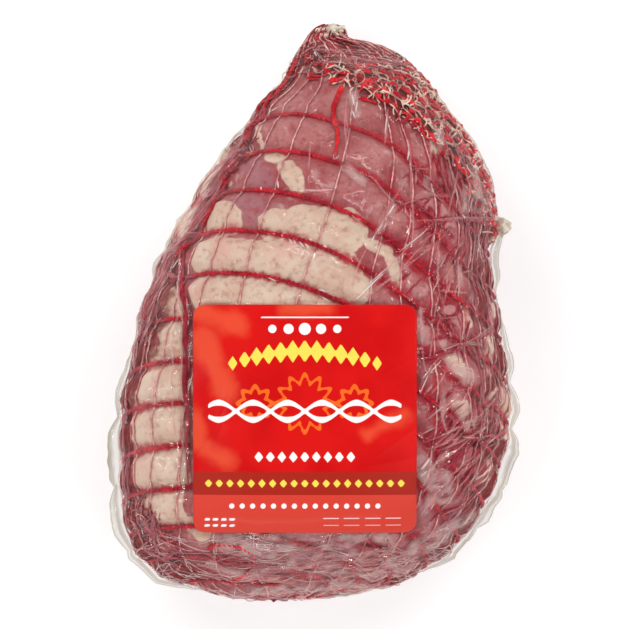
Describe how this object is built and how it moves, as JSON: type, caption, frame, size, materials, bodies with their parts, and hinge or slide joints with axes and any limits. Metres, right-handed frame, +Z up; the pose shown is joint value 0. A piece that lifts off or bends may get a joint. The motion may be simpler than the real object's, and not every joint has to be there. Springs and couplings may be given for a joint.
{
  "type": "shrink-packed boneless half leg of lamb",
  "caption": "Raw boneless half leg of lamb, rolled in red elastic netting and shrink-packed in clear film with a red label, lying on its back.",
  "frame": {"origin": "centre of the pack's footprint, on the surface that it lies on", "axes": "+X across the pack to the right of the label, +Y along it from the blunt end to the gathered tail, +Z up out of the label"},
  "size_m": [0.1602, 0.2264, 0.0874],
  "materials": {
    "netted_meat": "wet raw meat and fat under tight clear film",
    "netting_cord": "covered elastic cord, stained red",
    "clear_film": "thin clear shrink film, glossy and creased",
    "printed_label": "glossy printed film label"
  },
  "bodies": {
    "root": {"lamb_pack": "netted_meat", "label": "printed_label"}
  },
  "joints": []
}
